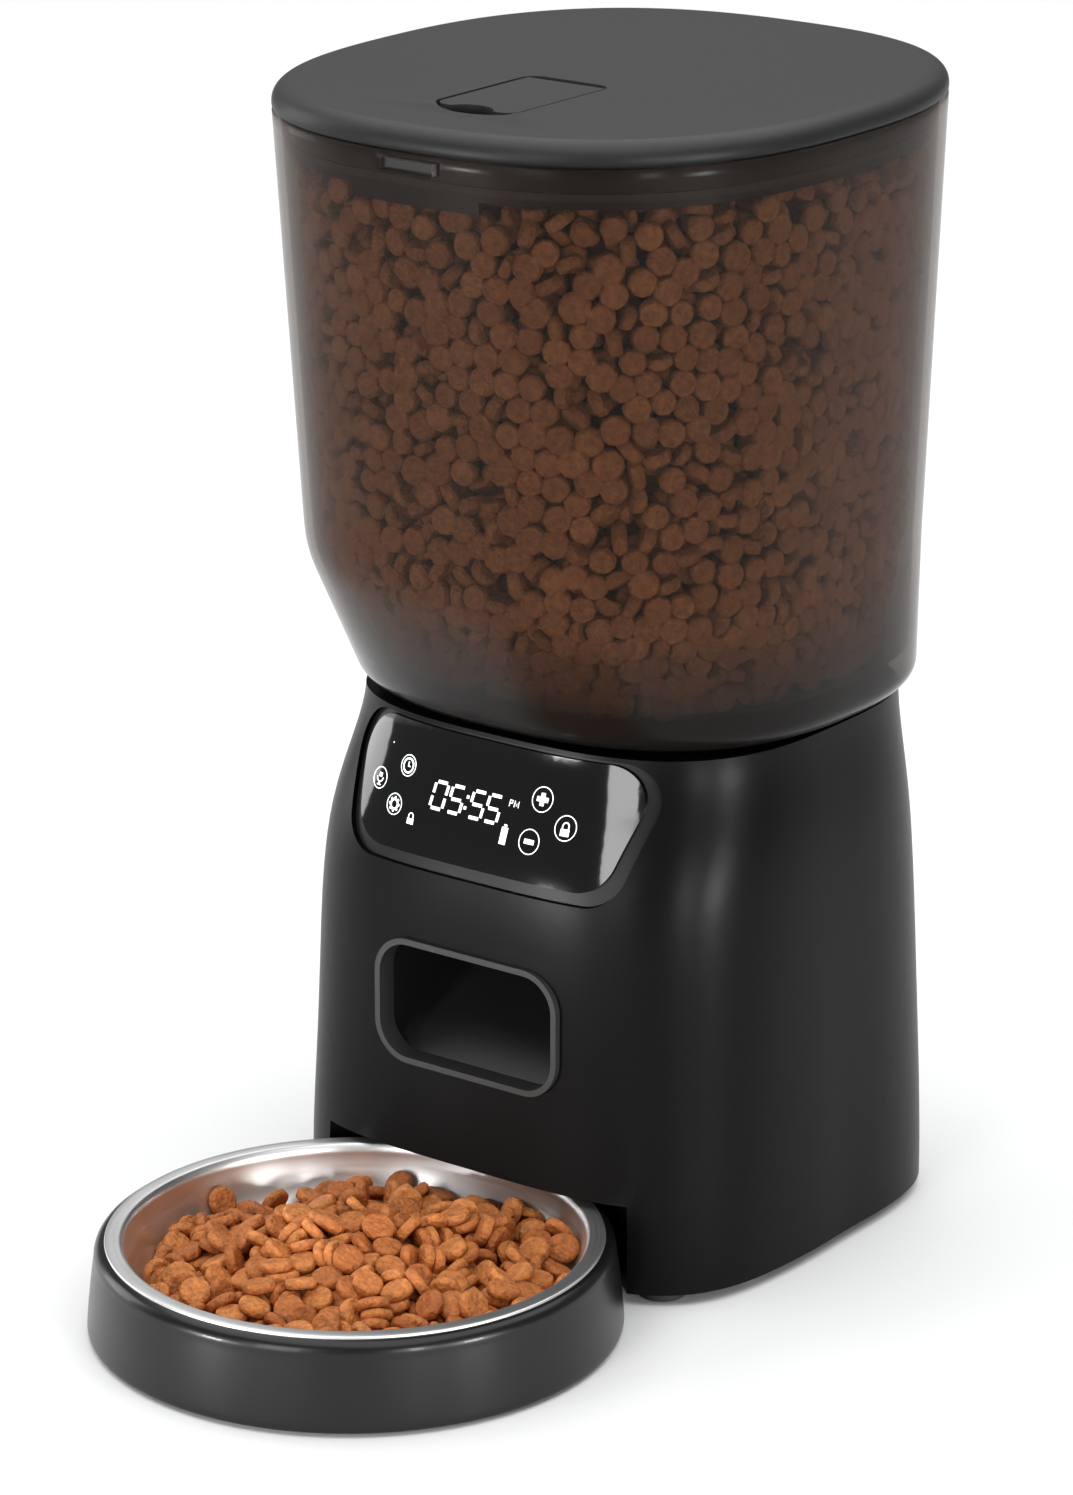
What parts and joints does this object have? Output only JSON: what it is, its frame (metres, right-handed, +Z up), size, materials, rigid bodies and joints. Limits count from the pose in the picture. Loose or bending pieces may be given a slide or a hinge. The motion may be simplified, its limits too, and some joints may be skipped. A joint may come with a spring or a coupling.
{
  "type": "automatic pet feeder",
  "caption": "Automatic dry-food feeder for a cat or small dog: tinted hopper with latched lid, motor-driven rotor, chute, touch display and a removable steel bowl in a round tray.",
  "frame": {"origin": "on the surface it stands on, under the middle of the whole object's box", "axes": "+Z up, the bowl and the display face -Y, +X to the right seen from the front"},
  "size_m": [0.1976, 0.3454, 0.394],
  "materials": {
    "case_black": "satin fine texture",
    "rubber": "matte",
    "steel": "bright",
    "inner_plastic": "matte",
    "cell_jacket": "plain jacket",
    "contact_metal": "plated",
    "bezel_black": "satin",
    "panel_gloss": "high gloss",
    "circuit_board": "solder mask",
    "digit_white": "lit segments",
    "chute_plastic": "smooth",
    "frame_grey": "satin",
    "brass": "machined",
    "gear_plastic": "natural acetal",
    "rotor_plastic": "satin",
    "silicone": "soft translucent",
    "tank_tint": "smoky clear plastic, polished",
    "lid_grey": "satin",
    "tray_gloss": "gloss",
    "bowl_steel": "satin"
  },
  "bodies": {
    "base": {"base_shell": "case_black", "bottom_plate": "case_black", "rubber_feet": "rubber", "case_screws": "steel", "battery_box": "inner_plastic", "battery_cells": "cell_jacket", "battery_contacts": "contact_metal", "dc_inlet": "inner_plastic", "display_bezel": "bezel_black", "display_panel": "panel_gloss", "display_board": "circuit_board", "led_digits": "digit_white", "main_board": "circuit_board", "board_standoffs": "inner_plastic", "speaker": "steel", "speaker_seat": "rubber", "microphone": "contact_metal", "dispenser_well": "inner_plastic", "outlet_guard": "inner_plastic", "chute": "chute_plastic", "chute_frame": "frame_grey", "food_sensor": "inner_plastic", "gear_case": "inner_plastic", "gear_case_cover": "inner_plastic", "gear_mounts": "inner_plastic", "motor_body": "steel"},
    "rotor": {"portion_rotor": "rotor_plastic", "rotor_wipers": "silicone", "rotor_shaft": "steel", "drive_gear": "gear_plastic"},
    "pinion": {"motor_pinion": "brass", "motor_shaft": "steel"},
    "tank": {"hopper": "tank_tint", "hinge_pin": "steel"},
    "lid": {"lid_shell": "lid_grey", "lid_sleeve": "bezel_black", "lid_seal": "silicone", "latch_housing": "bezel_black", "latch_pin": "steel", "latch_spring": "steel", "desiccant_box": "bezel_black", "desiccant_cover": "bezel_black"},
    "lever": {"latch_lever": "lid_grey"},
    "bolt": {"latch_bolt": "bezel_black"},
    "tray": {"bowl_tray": "tray_gloss", "steel_bowl": "bowl_steel", "tray_feet": "rubber"},
    "door": {"battery_door": "case_black"}
  },
  "joints": [
    {"name": "hopper_lift", "type": "slide", "parent": "base", "child": "tank", "axis": [0, 0, 1], "range_m": [0, 0.12]},
    {"name": "lid_hinge", "type": "hinge", "parent": "tank", "child": "lid", "pos_m": [0, 0.16925, 0.384], "axis": [-1, 0, 0], "range_deg": [0, 80]},
    {"name": "latch_lift", "type": "hinge", "parent": "lid", "child": "lever", "pos_m": [0, 0.02905, 0.3888], "axis": [-1, 0, 0], "range_deg": [0, 18], "stiffness_Nm_per_rad": 0.05, "springref_deg": -5.73, "deforming": ["latch_spring"]},
    {"name": "latch_draw", "type": "slide", "parent": "lid", "child": "bolt", "axis": [0, 1, 0], "range_m": [0, 0.0051]},
    {"name": "rotor_turn", "type": "hinge", "parent": "base", "child": "rotor", "pos_m": [0, 0.07125, 0.14], "axis": [0, 0, 1], "continuous": true},
    {"name": "motor_spin", "type": "hinge", "parent": "base", "child": "pinion", "pos_m": [0, 0.09645, 0.115], "axis": [0, 0, 1], "continuous": true},
    {"name": "tray_slide", "type": "slide", "parent": "base", "child": "tray", "axis": [0, -1, 0], "range_m": [0, 0.06]},
    {"name": "battery_door_hinge", "type": "hinge", "parent": "base", "child": "door", "pos_m": [0, 0.1317, 0.00515], "axis": [1, 0, 0], "range_deg": [0, 95]}
  ],
  "couplings": [
    {"joint": "latch_draw", "follows": "latch_lift", "m_per_rad": 0.015915},
    {"joint": "motor_spin", "follows": "rotor_turn", "ratio": -3}
  ]
}
